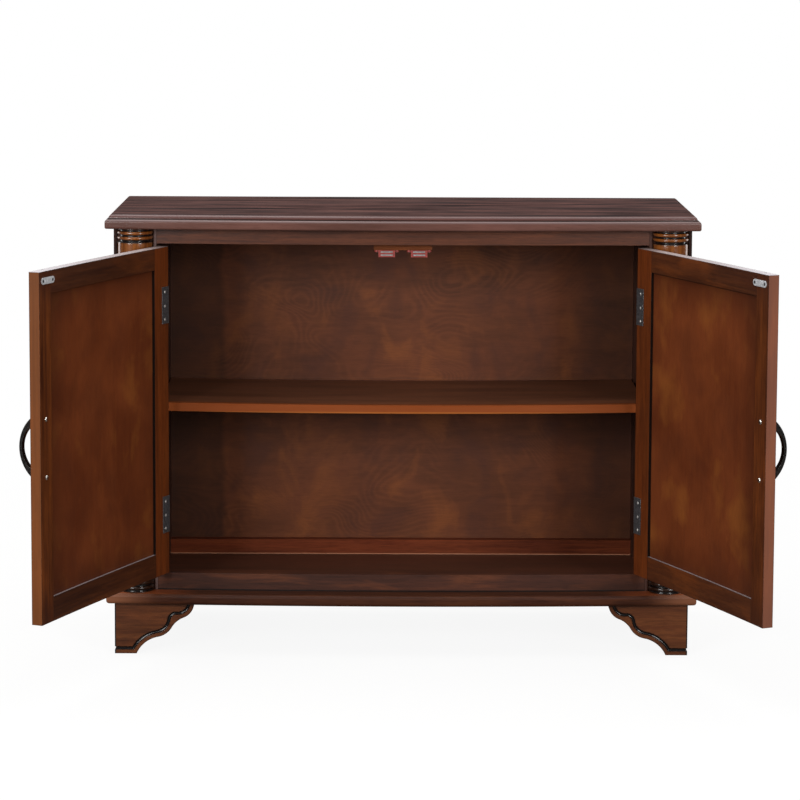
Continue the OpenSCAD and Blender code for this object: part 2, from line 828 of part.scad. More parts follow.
// The groove in the frame for the panel and for the rails' tongues
module frame_groove() {
    door_slab(pane_left - tongue, pane_right + tongue, pane_low - tongue, pane_high + tongue,
        recess_out - seat_gap, door_t - recess_in + seat_gap);
}

// Grooves in a stile for the tongues of both rails
module rail_mortises(grow) {
    for (z = [[door_low, pane_low], [pane_high, door_high]])
        door_slab(pane_left - tongue + seat_gap - grow, pane_right + tongue - seat_gap + grow, z[0], z[1],
            recess_out - grow, door_t - recess_in + grow);
}

// Flats let into the door's hinge edge for the wrapping leaves
module leaf_seats() {
    for (z = hinge_zs) span([-edge_x - hair, -door_t, z - seat_gap],
        [-edge_x + leaf_t, 2 * door_t, z + hinge_h + seat_gap]);
}

module hinge_stile(right) {
    color(door_wood) on_door(right) difference() {
        door_slab(-edge_x, pane_left, door_low, door_high, 0, door_t);
        pane_cove();
        frame_groove();
        rail_mortises(seat_gap);
        leaf_seats();
        door_screw_set(seat_gap);
    }
}

module meeting_stile(right) {
    color(door_wood) on_door(right) difference() {
        door_slab(pane_right, -free_x, door_low, door_high, 0, door_t);
        pane_cove();
        frame_groove();
        rail_mortises(seat_gap);
        handle_bores();
    }
}

// A door rail between the stiles, with a tongue into each
module door_rail(right, low, high) {
    color(door_wood) on_door(right) difference() {
        union() {
            door_slab(pane_left, pane_right, low, high, 0, door_t);
            door_slab(pane_left - tongue + seat_gap, pane_right + tongue - seat_gap, low, high,
                recess_out, door_t - recess_in);
        }
        pane_cove();
        frame_groove();
    }
}

module door_panel(right) {
    gap = seat_gap;
    color(door_wood) on_door(right)
        door_slab(pane_left - tongue + gap, pane_right + tongue - gap, pane_low - tongue + gap,
            pane_high + tongue - gap, recess_out, door_t - recess_in);
}

module left_hinge_stile() { hinge_stile(false); }
module right_hinge_stile() { hinge_stile(true); }
module left_meeting_stile() { meeting_stile(false); }
module right_meeting_stile() { meeting_stile(true); }
module left_door_top_rail() { door_rail(false, pane_high, door_high); }
module right_door_top_rail() { door_rail(true, pane_high, door_high); }
module left_door_bottom_rail() { door_rail(false, door_low, pane_low); }
module right_door_bottom_rail() { door_rail(true, door_low, pane_low); }
module left_door_panel() { door_panel(false); }
module right_door_panel() { door_panel(true); }

// Where the handle stands: its middle on the outer face, with X along the door's height
// and Z out of the face
module at_handle() {
    turn = asin(handle_x / bow_r);
    translate([handle_x, front_y(handle_x), handle_z]) rotate([0, 0, turn]) rotate([90, -90, 0]) children();
}

// A crescent pull: an arched bar between two seats, with reeds along its outside
module handle(right) {
    reed_w = handle_w / reeds;
    color(bronze) on_door(right) at_handle() difference() {
        intersection() {
            translate([0, 0, handle_reach - handle_out_r]) rotate([90, 0, 0]) rotate_extrude($fn = 96) {
                translate([0, -handle_w / 2]) square([handle_out_r - reed_w / 2, handle_w]);
                for (i = [0 : reeds - 1])
                    translate([handle_out_r - reed_w / 2, (i - (reeds - 1) / 2) * reed_w])
                        circle(r = reed_w / 2 - 0.01, $fn = 24);
            }
            span([-handle_half, -handle_w, 0], [handle_half, handle_w, handle_reach]);
        }
        translate([0, 0, handle_gap - handle_in_r]) rotate([90, 0, 0])
            cylinder(r = handle_in_r, h = 2 * handle_w, center = true, $fn = 96);
        for (s = [-1, 1]) translate([s * handle_pitch / 2, 0, -hair])
            cylinder(r = shank_r + seat_gap, h = handle_tap + hair);
    }
}

handle_tap = 5;

// Bores through the door for the handle's screws
module handle_bores() {
    at_handle() for (s = [-1, 1]) translate([s * handle_pitch / 2, 0, -2 * door_t])
        cylinder(r = shank_r + seat_gap, h = 3 * door_t);
}

module handle_screws(right) {
    color(nickel) on_door(right) at_handle() for (s = [-1, 1])
        translate([s * handle_pitch / 2, 0, -door_t]) {
            cylinder(r = shank_r, h = door_t + handle_tap - hair);
            translate([0, 0, -1.6]) cylinder(r1 = handle_screw_r * 0.7, r2 = handle_screw_r, h = 1.6 - seat_gap);
            translate([0, 0, -seat_gap - 0.1]) cylinder(r = shank_r, h = 1);
        }
}

module left_handle() { handle(false); }
module right_handle() { handle(true); }
module left_handle_screws() { handle_screws(false); }
module right_handle_screws() { handle_screws(true); }

// Where a strike plate lies: its middle on the inner face, with X along the door's width
// and Z out of the face, towards the catch. The plate is flat, so only its ends touch the
// hollow face.
module at_strike() {
    turn = asin(-catch_x / bow_r);
    rise = strike_w * strike_w / (8 * (bow_r - door_t));
    translate([-catch_x, inner_y(catch_x) + rise, catch_z]) rotate([0, 0, turn]) rotate([-90, 0, 0])
        children();
}

strike_hole_x = strike_w / 2 - strike_h / 2;

// A stadium-shaped plate with two screw holes and a raised middle
module strike_plate(right) {
    color(nickel) on_door(right) at_strike() difference() {
        union() {
            for (s = [-1, 1]) translate([s * strike_hole_x, 0, 0]) cylinder(r = strike_h / 2, h = strike_t * 0.7);
            span([-strike_hole_x, -strike_h / 2, 0], [strike_hole_x, strike_h / 2, strike_t * 0.7]);
            span([-strike_w / 5, -strike_h / 2 + 1.5, 0], [strike_w / 5, strike_h / 2 - 1.5, strike_t]);
        }
        for (s = [-1, 1]) translate([s * strike_hole_x, 0, -hair])
            cylinder(r = shank_r + seat_gap, h = strike_t + 2 * hair);
    }
}

module strike_screws(right) {
    color(iron) on_door(right) at_strike() for (s = [-1, 1]) translate([s * strike_hole_x, 0, 0]) {
        cylinder(r = shank_r, h = strike_t * 0.7);
        translate([0, 0, strike_t * 0.7]) cylinder(r1 = screw_r, r2 = screw_r * 0.7, h = strike_t * 0.3);
    }
}

module left_strike_plate() { strike_plate(false); }
module right_strike_plate() { strike_plate(true); }
module left_strike_screws() { strike_screws(false); }
module right_strike_screws() { strike_screws(true); }

wrap_y = inner_y(edge_x);
wrap_turn = atan((inner_y(edge_x - leaf_w) - wrap_y) / leaf_w);

wrap_way = [cos(wrap_turn), sin(wrap_turn)];
wrap_up = [-sin(wrap_turn), cos(wrap_turn)];

// The flat face of the door's inner side at the hinges, from the hinge edge, with X along
// the door's width and Y into the cabinet
module at_wrap() {
    translate([-edge_x, wrap_y, 0]) rotate([0, 0, wrap_turn]) children();
}

// Section of a door leaf: down the door's edge from its inner face
module wrap_section() {
    corner = [-edge_x, wrap_y];
    polygon([[-edge_x, 0.1], [-edge_x + leaf_t, 0.1], [-edge_x + leaf_t, wrap_y + leaf_t * tan(wrap_turn)],
        corner + leaf_w * wrap_way, corner + leaf_w * wrap_way + leaf_t * wrap_up,
        [-edge_x, wrap_y + leaf_t / cos(wrap_turn)]]);
}

// A door leaf covers the door's edge and wraps round onto its inner face
module door_leaves(right) {
    color(iron) on_door(right) for (z = hinge_zs) {
        difference() {
            union() {
                translate([0, 0, z]) linear_extrude(hinge_h) wrap_section();
                knuckle_tabs(z, 1, -edge_x);
            }
            at_wrap() for (s = screw_zs) translate([leaf_w * 0.6, -hair, z + s * hinge_h])
                rotate([-90, 0, 0]) cylinder(r = shank_r + seat_gap, h = leaf_t + 2 * hair);
        }
        knuckle_row(z, 1, hinge_pin_r + pin_gap);
    }
}

// The screws that hold the door leaves, drawn on the closed left door
module door_screw_set(extra) {
    at_wrap() for (z = hinge_zs) for (s = screw_zs)
        translate([leaf_w * 0.6, leaf_t, z + s * hinge_h]) rotate([90, 0, 0]) {
            cylinder(r = shank_r + extra, h = shank_l + leaf_t);
            if (extra == 0) translate([0, 0, -screw_head])
                cylinder(r1 = screw_r * 0.6, r2 = screw_r, h = screw_head);
        }
}

module door_screws(right) {
    color(nickel) on_door(right) door_screw_set(0);
}

module left_door_leaves() { door_leaves(false); }
module right_door_leaves() { door_leaves(true); }
module left_door_screws() { door_screws(false); }
module right_door_screws() { door_screws(true); }

top_board();
top_front_rail();
bottom_front_rail();
top_back_rail();
bottom_back_rail();
left_side_panel();
right_side_panel();
back_panel();
bottom_panel();
left_front_post();
right_front_post();
left_rear_post();
right_rear_post();
left_column();
right_column();
front_moulding();
left_moulding();
right_moulding();
left_front_foot();
right_front_foot();
left_side_feet();
right_side_feet();
foot_blocks();
shelf();
shelf_pins();
catch_block();
catch_cases();
catch_magnets();
catch_screws();
left_jamb_leaves();
right_jamb_leaves();
hinge_pins();
jamb_screws();
left_hinge_stile();
left_meeting_stile();
left_door_top_rail();
left_door_bottom_rail();
left_door_panel();
left_handle();
left_handle_screws();
left_strike_plate();
left_strike_screws();
left_door_leaves();
left_door_screws();
right_hinge_stile();
right_meeting_stile();
right_door_top_rail();
right_door_bottom_rail();
right_door_panel();
right_handle();
right_handle_screws();
right_strike_plate();
right_strike_screws();
right_door_leaves();
right_door_screws();
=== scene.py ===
import json
import math

import bpy
from mathutils import Matrix, Vector


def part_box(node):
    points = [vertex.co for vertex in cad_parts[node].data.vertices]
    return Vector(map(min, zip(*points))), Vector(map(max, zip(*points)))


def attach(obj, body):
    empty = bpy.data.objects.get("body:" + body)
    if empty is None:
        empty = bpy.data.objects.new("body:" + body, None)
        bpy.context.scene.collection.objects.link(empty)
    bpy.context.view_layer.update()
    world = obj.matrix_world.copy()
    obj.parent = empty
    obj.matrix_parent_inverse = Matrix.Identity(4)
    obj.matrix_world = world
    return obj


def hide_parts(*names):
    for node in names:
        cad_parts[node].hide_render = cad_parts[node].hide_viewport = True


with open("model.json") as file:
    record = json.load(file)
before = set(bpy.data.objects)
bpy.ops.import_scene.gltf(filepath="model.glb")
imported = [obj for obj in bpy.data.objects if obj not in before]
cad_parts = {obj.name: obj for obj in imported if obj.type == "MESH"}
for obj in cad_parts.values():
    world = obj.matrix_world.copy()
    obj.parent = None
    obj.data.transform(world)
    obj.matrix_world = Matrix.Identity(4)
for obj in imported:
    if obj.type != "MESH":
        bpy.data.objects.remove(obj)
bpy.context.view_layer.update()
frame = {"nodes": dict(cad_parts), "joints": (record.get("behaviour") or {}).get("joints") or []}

nodes = frame["nodes"]
sides = ("left", "right")
outward = {"left": -1, "right": 1}
mm = 0.001  # in metres
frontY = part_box("left_front_post")[0].y  # front of the flat strips beside the doors
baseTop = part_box("left_column")[0].z
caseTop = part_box("left_column")[1].z
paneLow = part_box("left_door_bottom_rail")[1].z
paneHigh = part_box("left_door_top_rail")[0].z
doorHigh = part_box("left_hinge_stile")[1].z
print("frame loaded:", len(nodes), "nodes")


def linearFromHex(code):
    # sRGB hex to the linear colour that Blender's sockets take
    parts = [int(code[i:i + 2], 16) / 255 for i in (1, 3, 5)]
    return tuple(c / 12.92 if c <= 0.04045 else ((c + 0.055) / 1.055) ** 2.4 for c in parts) + (1.0,)


def addNode(tree, kind, settings=None, links=None):
    # One node with its settings and its incoming links. A link starts at a socket, or at a
    # node, whose first output in use is then taken.
    node = tree.nodes.new(kind)
    for key, value in (settings or {}).items():
        if isinstance(key, str) and hasattr(node, key):
            setattr(node, key, value)
        else:
            node.inputs[key].default_value = value
    for key, source in (links or {}).items():
        if isinstance(source, bpy.types.Node):
            source = next(socket for socket in source.outputs if socket.enabled)
        tree.links.new(source, node.inputs[key])
    return node


def newMaterial(name):
    material = bpy.data.materials.new(name)
    material.use_nodes = True
    tree = material.node_tree
    tree.nodes.clear()
    return material, tree


def dress(names, material):
    for name in names:
        for slot in nodes[name].material_slots:
            slot.material = material


def closedPlace(side):
    # the turn and the shift that take a point of the open door to where it is on the closed one
    joint = next(joint for joint in frame["joints"] if joint["child"] == side + "_door")
    turn = math.radians(joint["range_deg"][0]) * joint["axis"][2]
    pivot = Vector(joint["pos_m"])
    return turn, pivot - Matrix.Rotation(turn, 3, "Z") @ pivot


def closedSpan(name, side):
    # range of a door piece's x on the closed door
    turn, shift = closedPlace(side)
    rotation = Matrix.Rotation(turn, 3, "Z")
    across = [(rotation @ corner.co + shift).x for corner in nodes[name].data.vertices]
    return min(across), max(across)


def between(tree, value, low, high, soft):
    # 1 between two values of a coordinate and 0 outside, over a soft border
    smooth = {"interpolation_type": "SMOOTHSTEP"}
    rise = addNode(tree, "ShaderNodeMapRange", {**smooth, "From Min": low - soft, "From Max": low + soft},
                   {"Value": value})
    fall = addNode(tree, "ShaderNodeMapRange", {**smooth, "From Min": high + soft, "From Max": high - soft},
                   {"Value": value})
    return addNode(tree, "ShaderNodeMath", {"operation": "MULTIPLY"}, {0: rise, 1: fall})


def stainAndLightOver(tree, under, code, value, none, full, strength=1.0, where=None):
    # Lays another colour over the colour, for stains and for painted shade and highlights: none where
    # the value is at "none", and at its strength where the value is at "full". A second mask can hold it back
    # further.
    share = addNode(tree, "ShaderNodeMapRange", {"From Min": none, "From Max": full}, {"Value": value})
    share = addNode(tree, "ShaderNodeMath", {"operation": "MULTIPLY", 1: strength}, {0: share})
    if where:
        share = addNode(tree, "ShaderNodeMath", {"operation": "MULTIPLY"}, {0: share, 1: where})
    return addNode(tree, "ShaderNodeMix", {"data_type": "RGBA", 7: linearFromHex(code)}, {0: share, 6: under})


# A bowed board with a moulded edge. The bow's radius is in metres, and the holds are the mm to
# the ring of points beside each rounded member that keeps a flat face flat.
slabLook = {"bowRadius": 7.635, "bowSteps": 48, "memberSteps": 8, "flatHold": 0.3, "uprightHold": 0.2,
            "sharpAngle": 35}


def edgeProfile(edge):
    # points of the section from the under side up, as mm in from the outer edge and mm up
    def member(inset, height, radius, start, end):
        steps = slabLook["memberSteps"]
        turns = [math.radians(start + (end - start) * step / steps) for step in range(steps + 1)]
        return [(inset - radius * math.cos(turn), height + radius * math.sin(turn)) for turn in turns]

    under, lower, upper = edge["under"], edge["lower"], edge.get("upper", 0)
    lowerTop = edge["height"] - upper - edge.get("riser", 0)
    points = [(under + slabLook["flatHold"], 0), *member(under, under, under, -90, 0),
              (0, under + slabLook["uprightHold"]), (0, lowerTop - lower - slabLook["uprightHold"]),
              *member(lower, lowerTop - lower, lower, 0, 90)]
    inset = lower
    if upper:
        riser = lower + edge["ledge"]
        inset = riser + upper
        points += [(riser, lowerTop), *member(inset, edge["height"] - upper, upper, 0, 90)]
    return points + [(inset + slabLook["flatHold"], edge["height"])]


def mouldedSlab(name, node, edge, material):
    # The CAD node's slab with the same section run along the bowed front and both sides. Its
    # even rings of points keep the highlights on the moulding straight.
    low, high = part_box(node)
    bowRadius, steps = slabLook["bowRadius"], slabLook["bowSteps"]
    profile = edgeProfile(edge)
    points = []
    for inset, height in profile:
        reach = high.x - inset * mm
        radius = bowRadius - inset * mm
        level = low.z + height * mm
        across = [reach * (2 * step / steps - 1) for step in range(steps + 1)]
        points += [(x, low.y + bowRadius - math.sqrt(radius ** 2 - x ** 2), level) for x in across]
        points += [(reach, high.y, level), (-reach, high.y, level)]
    count = steps + 3  # points in a ring
    faces = [tuple(reversed(range(count))), tuple(range(len(points) - count, len(points)))]
    for ring in range(len(profile) - 1):
        below, above = ring * count, (ring + 1) * count
        for corner in range(count):
            after = (corner + 1) % count
            faces.append((below + corner, below + after, above + after, above + corner))
    mesh = bpy.data.meshes.new(name)
    mesh.from_pydata(points, [], faces)
    for face in mesh.polygons:
        face.use_smooth = True
    mesh.set_sharp_from_angle(angle=math.radians(slabLook["sharpAngle"]))
    mesh.materials.append(material)
    slab = bpy.data.objects.new(name, mesh)
    bpy.context.scene.collection.objects.link(slab)
    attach(slab, "case")
    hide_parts(node)


# Stained hardwood under sprayed lacquer. The stain sits darker in the long pores and unevenly
# in the wood round them, dark toner is sprayed over the edges of each part and painted shade
# darkens its inner corners, so the eye sees fine lines, soft clouds and darker borders under a
# thin sheen. Lengths of the figure are in mm. Real pores are about 0.2 mm wide, and these are
# wider so that they show.
woodDefaults = {
    "grain": "x", "dark": "#3a241c", "mid": "#4f3226", "light": "#6b4634", "streaks": 0.5, "poreDepth": 0.25,
    "broadAlong": 420, "broadAcross": 42, "streakAlong": 190, "streakAcross": 6, "poreAlong": 24,
    "poreAcross": 1.6, "cloud": None, "rings": None, "roughness": 0.42, "specular": 0.3, "coat": 0.12,
    "coatRoughness": 0.2, "glossier": 0.06, "duller": 0.08, "relief": 0.2, "reliefDepth": 0.0002,
    "edgeRadius": 0.0008, "glazeRadius": 0.0016, "edgeTonerAndShade": 0.4, "glaze": "#160b08", "bands": (),
    "facets": False, "flatCoat": None, "moulded": None, "turned": None, "seed": 1.0, "side": None,
}
# How each noise is drawn. Its start keeps it from following another, and its stain sets in
# between two limits, because a noise seldom leaves the middle of its range.
startShares = (1.0, 0.7, 1.3)  # how much of the start moves the pattern on each axis
patterns = {
    "broad": {"start": 0, "detail": 3.0, "roughness": 0.5, "distortion": 0.6, "limits": (0.34, 0.64)},
    "streak": {"start": 3, "detail": 5.0, "roughness": 0.62, "distortion": 0.35, "limits": (0.36, 0.70)},
    "pore": {"start": 7, "detail": 2.0, "roughness": 0.6, "distortion": 0.0, "limits": (0.36, 0.52)},
    "ring": {"start": 11, "detail": 1.6, "roughness": 0.45, "distortion": 0.35, "crest": 1.0, "clear": -0.2},
    "wobble": {"start": 17, "detail": 3.0, "roughness": 0.6, "distortion": 0.0},
    "ringPatch": {"start": 23, "detail": 2.0, "roughness": 0.5, "distortion": 0.0, "limits": (0.40, 0.62)},
    "cloud": {"start": 29, "detail": 4.0, "roughness": 0.5, "distortion": 0.9, "pale": (0.54, 0.70),
              "deep": (0.47, 0.32)},
    "waver": {"start": 37, "detail": 3.0, "roughness": 0.55, "distortion": 0.0, "along": 90, "across": 60},
}
# Where a finish sets in and where it is full, as the cosine of a slope or of the turn at an edge
slopes = {
    # corner: painted shade in inner corners, and toner on edges
    "corner": (0.98, 0.80),  # glaze in corners and toner on edges
    "rim": (0.99, 0.85),  # plating worn off an edge
    "moulding": (0.99, 0.95),  # stain on every face that doesn't look up
    # the moulding's turn: rubbed paler, with a painted lilac sheen
    "rubAndSheen": (0.25, 0.96),  # from and to, on the part of a moulding that turns
    "rubAndSheenSoft": 0.03,
    "satin": (0.998, 0.97),  # from a level face to the moulding's gloss
}


def stainedWood(name, look):
    look = {**woodDefaults, **look}
    material, tree = newMaterial(name)
    coords = addNode(tree, "ShaderNodeTexCoord").outputs["Object"]
    geometry = addNode(tree, "ShaderNodeNewGeometry")
    if look["side"]:
        turn, shift = closedPlace(look["side"])
        coords = addNode(tree, "ShaderNodeMapping", {"Rotation": (0, 0, turn), "Location": shift},
                         {"Vector": coords}).outputs["Vector"]
    split = addNode(tree, "ShaderNodeSeparateXYZ", {}, {0: coords})
    place = {axis: split.outputs[axis.upper()] for axis in "xyz"}

    def noise(name, along, across, distortion=None):
        # one swing of the pattern takes "along" mm with the grain and "across" mm over it
        pattern = patterns[name]
        size = [1000 / (along if axis == look["grain"] else across) for axis in "xyz"]
        start = look["seed"] + pattern["start"]
        vector = addNode(tree, "ShaderNodeMapping", {
            "Scale": size, "Location": [start * share for share in startShares]}, {"Vector": coords})
        return addNode(tree, "ShaderNodeTexNoise", {
            "Scale": 1.0, "Detail": pattern["detail"], "Roughness": pattern["roughness"],
            "Distortion": pattern["distortion"] if distortion is None else distortion}, {"Vector": vector})

    broad = noise("broad", look["broadAlong"], look["broadAcross"])
    streak = noise("streak", look["streakAlong"], look["streakAcross"])
    pores = noise("pore", look["poreAlong"], look["poreAcross"])
    low, high = patterns["broad"]["limits"]
    heart = addNode(tree, "ShaderNodeMapRange", {"From Min": low, "From Max": high}, {"Value": broad})
    colour = addNode(tree, "ShaderNodeMix", {
        "data_type": "RGBA", 6: linearFromHex(look["dark"]), 7: linearFromHex(look["mid"])}, {0: heart})
    colour = stainAndLightOver(tree, colour, look["light"], streak, *patterns["streak"]["limits"], look["streaks"])

    # rings of a peeled veneer: level lines of a slow noise, drawn as soft waves in patches
    if look["rings"]:
        rings = look["rings"]
        slow = noise("ring", rings["along"], rings["across"])
        fine = noise("wobble", rings["wobbleAlong"], rings["wobbleAcross"])
        wobbly = addNode(tree, "ShaderNodeMath", {"operation": "MULTIPLY_ADD", 1: rings["wobble"]},
                         {0: fine, 2: slow})
        turns = addNode(tree, "ShaderNodeMath", {"operation": "MULTIPLY", 1: rings["count"] * math.tau},
                        {0: wobbly})
        wave = addNode(tree, "ShaderNodeMath", {"operation": "SINE"}, {0: turns})
        patches = noise("ringPatch", rings["patchAlong"], rings["patchAcross"])
        low, high = patterns["ringPatch"]["limits"]
        where = addNode(tree, "ShaderNodeMapRange", {"From Min": low, "From Max": high}, {"Value": patches})
        clear, crest = patterns["ring"]["clear"], patterns["ring"]["crest"]
        colour = stainAndLightOver(tree, colour, look["light"], wave, clear, crest, rings["depth"], where)
        colour = stainAndLightOver(tree, colour, look["dark"], wave, -clear, -crest, rings["depth"], where)

    # clouds where the wood takes more or less stain
    if look["cloud"]:
        cloud = look["cloud"]
        mist = noise("cloud", cloud["along"], cloud["across"], cloud.get("swirl"))
        colour = stainAndLightOver(tree, colour, cloud["light"], mist, *patterns["cloud"]["pale"], cloud["pale"])
        colour = stainAndLightOver(tree, colour, cloud["dark"], mist, *patterns["cloud"]["deep"], cloud["deep"])

    low, high = patterns["pore"]["limits"]
    poreTone = addNode(tree, "ShaderNodeMapRange", {
        "From Min": low, "From Max": high, "To Min": 1.0 - look["poreDepth"]}, {"Value": pores})
    colour = addNode(tree, "ShaderNodeVectorMath", {"operation": "SCALE"}, {0: colour, "Scale": poreTone})

    # an evener tone on every face that doesn't look up, rubbed paler and given a painted sheen where the
    # moulding turns
    upward = addNode(tree, "ShaderNodeSeparateXYZ", {}, {0: geometry.outputs["Normal"]}).outputs["Z"]
    if look["moulded"]:
        moulded = look["moulded"]
        colour = stainAndLightOver(tree, colour, moulded["colour"], upward, *slopes["moulding"], moulded["share"])
        turning = between(tree, upward, *slopes["rubAndSheen"], slopes["rubAndSheenSoft"])
        colour = stainAndLightOver(tree, colour, moulded["rubAndSheen"], turning, 0, 1, moulded["rubAndSheenShare"])

    # bands along one axis, some with a wavering border: stain and toner, and painted shade and highlights
    waver = None
    if any("waver" in band for band in look["bands"]):
        waver = noise("waver", patterns["waver"]["along"], patterns["waver"]["across"])
    for band in look["bands"]:
        value = place[band["axis"]]
        sway = band.get("waver", 0)
        if sway:
            value = addNode(tree, "ShaderNodeMath", {"operation": "MULTIPLY_ADD", 1: sway},
                            {0: waver, 2: value}).outputs["Value"]
        low, high = (edge + sway / 2 for edge in sorted(band["between"]))
        mask = between(tree, value, low, high, band["soft"])
        none, full = (1, 0) if band.get("outside") else (0, 1)
        fading = None
        if band.get("fade"):
            axis, start, end = band["fade"]
            fading = addNode(tree, "ShaderNodeMapRange", {"From Min": start, "From Max": end},
                             {"Value": place[axis]})
        colour = stainAndLightOver(tree, colour, band["colour"], mask, none, full, band.get("share", 1.0), fading)

    # darker where two faces meet: toner on the edges, and painted shade in the inner corners
    wide = addNode(tree, "ShaderNodeBevel", {"samples": 8, "Radius": look["glazeRadius"]})
    facing = addNode(tree, "ShaderNodeVectorMath", {"operation": "DOT_PRODUCT"},
                     {0: wide, 1: geometry.outputs["Normal"]})
    colour = stainAndLightOver(tree, colour, look["glaze"], facing, *slopes["corner"], look["edgeTonerAndShade"])

    # dark glaze that pools inside a turned piece's grooves, by distance from its axis
    if look["turned"]:
        axis = look["turned"]
        centre = (axis["x"], axis["y"], 0)
        fromAxis = addNode(tree, "ShaderNodeVectorMath", {"operation": "SUBTRACT", 1: centre}, {0: coords})
        level = addNode(tree, "ShaderNodeVectorMath", {"operation": "MULTIPLY", 1: (1, 1, 0)}, {0: fromAxis})
        reach = addNode(tree, "ShaderNodeVectorMath", {"operation": "LENGTH"}, {0: level})
        colour = stainAndLightOver(tree, colour, look["glaze"], reach, axis["clear"], axis["glazed"])

    sheen = addNode(tree, "ShaderNodeMapRange", {
        "To Min": look["roughness"] - look["glossier"], "To Max": look["roughness"] + look["duller"]},
        {"Value": streak})
    rounded = addNode(tree, "ShaderNodeBevel", {"samples": 4, "Radius": look["edgeRadius"]}).outputs["Normal"]
    if look["facets"]:  # the mesh's own faces are truer than its smoothed ones
        rounded = geometry.outputs["True Normal"]
    bump = addNode(tree, "ShaderNodeBump", {"Strength": look["relief"], "Distance": look["reliefDepth"]},
                   {"Height": pores, "Normal": rounded})
    shader = addNode(tree, "ShaderNodeBsdfPrincipled",
                     {"IOR": 1.5, "Specular IOR Level": look["specular"], "Coat Weight": look["coat"],
                      "Coat Roughness": look["coatRoughness"], "Coat IOR": 1.5},
                     {"Base Color": colour, "Roughness": sheen, "Normal": bump, "Coat Normal": rounded})
    if look["flatCoat"] is not None:
        # the level face is rubbed to a satin, and the moulding keeps its gloss
        low, high = slopes["satin"]
        gloss = addNode(tree, "ShaderNodeMapRange", {
            "From Min": low, "From Max": high, "To Min": look["flatCoat"], "To Max": look["coat"]},
            {"Value": upward})
        tree.links.new(gloss.outputs["Result"], shader.inputs["Coat Weight"])
    addNode(tree, "ShaderNodeOutputMaterial", {}, {"Surface": shader})
    return material


# Top board: dark walnut stain with long streaks, rubbed paler and given a painted lilac sheen where its
# moulding turns, so the two rounded members show as pale lines over a red-brown edge. Its section is in mm.
topEdge = {"height": 25, "under": 3.5, "lower": 5.5, "ledge": 1, "riser": 2, "upper": 6}
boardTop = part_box("top_board")[1].z
upperMember = {"axis": "z", "between": (boardTop - 6 * mm, boardTop - 0.2 * mm), "colour": "#4a2926",
               "share": 0.5, "soft": 0.0001}
riserLine = {"axis": "z", "between": (boardTop - 8.1 * mm, boardTop - 6 * mm), "colour": "#140b0b",
             "share": 0.8, "soft": 0.0001}
topLook = {
    "grain": "x", "dark": "#231f20", "mid": "#362f2f", "light": "#694b46", "streaks": 0.9, "broadAlong": 420,
    "broadAcross": 60, "streakAlong": 210, "streakAcross": 22, "roughness": 0.5, "specular": 0.0, "coat": 0.9,
    "coatRoughness": 0.22, "seed": 2.0, "edgeTonerAndShade": 0.0, "flatCoat": 0.05,
    # the second colour is rubbed paler wood with a painted sheen on the turning moulding
    "moulded": {"colour": "#5e372a", "share": 0.5, "rubAndSheen": "#54403e", "rubAndSheenShare": 0.7},
    "bands": [upperMember, riserLine],
}
mouldedSlab("topBoard", "top_board", topEdge, stainedWood("topWalnutStain", topLook))

# Rails and mouldings: the same stain, a little redder, with painted shade, black, in the corner over the
# moulding
railLook = {
    "grain": "x", "dark": "#301810", "mid": "#462619", "light": "#6e3a20", "streaks": 0.45,
    "streakAlong": 240, "roughness": 0.44, "specular": 0.22, "coat": 0.08, "seed": 5.0,
    "cloud": {"along": 160, "across": 30, "light": "#6b3a20", "dark": "#28140e", "pale": 0.35, "deep": 0.3},
}
# painted shade: black along the foot of the low rail, in the corner over the moulding
cornerShade = {"axis": "z", "between": (baseTop - 1 * mm, baseTop + 2.4 * mm), "colour": "#0d0605",
               "soft": 0.0007}
dress(["top_front_rail"], stainedWood("topRailStain", railLook))
dress(["bottom_front_rail"], stainedWood("lowRailStain", {
    **railLook, "dark": "#2b1812", "mid": "#3b2017", "light": "#552d1d", "streaks": 0.35, "seed": 6.0,
    "bands": [cornerShade]}))

# Base moulding: paler at its ends, with painted orange light from the columns on top beside them. Its
# section is in mm.
mouldEdge = {"height": 20, "under": 6.5, "lower": 7}
mouldLook = {
    **railLook, "dark": "#301810", "mid": "#402213", "light": "#593018", "streaks": 0.3, "specular": 0.1,
    "coat": 0.08, "coatRoughness": 0.3, "edgeTonerAndShade": 0.0, "seed": 8.0,
    "cloud": {**railLook["cloud"], "pale": 0.2, "deep": 0.2},
}
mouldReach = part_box("front_moulding")[1].x
mouldEnds = {"axis": "x", "between": (-mouldReach + 0.05, mouldReach - 0.05), "outside": True, "soft": 0.05,
             "colour": "#825239", "share": 0.62}
# painted light: an orange pool on top of the moulding beside each column
paintedColumnLight = [{"axis": "z", "between": (baseTop - 0.6 * mm, baseTop + 1 * mm), "colour": "#8e4522",
               "soft": 0.0003, "share": 0.5, "fade": ("x", outward[side] * 0.36, outward[side] * 0.43)}
              for side in sides]
mouldedSlab("frontMoulding", "front_moulding", mouldEdge, stainedWood("frontMouldStain", {
    **mouldLook, "bands": [mouldEnds, *paintedColumnLight]}))
dress(["left_moulding", "right_moulding"], stainedWood("sideMouldStain", {
    **mouldLook, "grain": "y", "facets": True, "seed": 9.0}))

# Case: a darker stain, and a painted pale sheen on the narrow strip between column and door in front
caseLook = {"grain": "z", "dark": "#20100b", "mid": "#321a12", "light": "#4c2a1b", "streaks": 0.45,
            "specular": 0.12, "coat": 0.0, "seed": 10.0}
caseParts = ("_front_post", "_rear_post", "_side_panel")
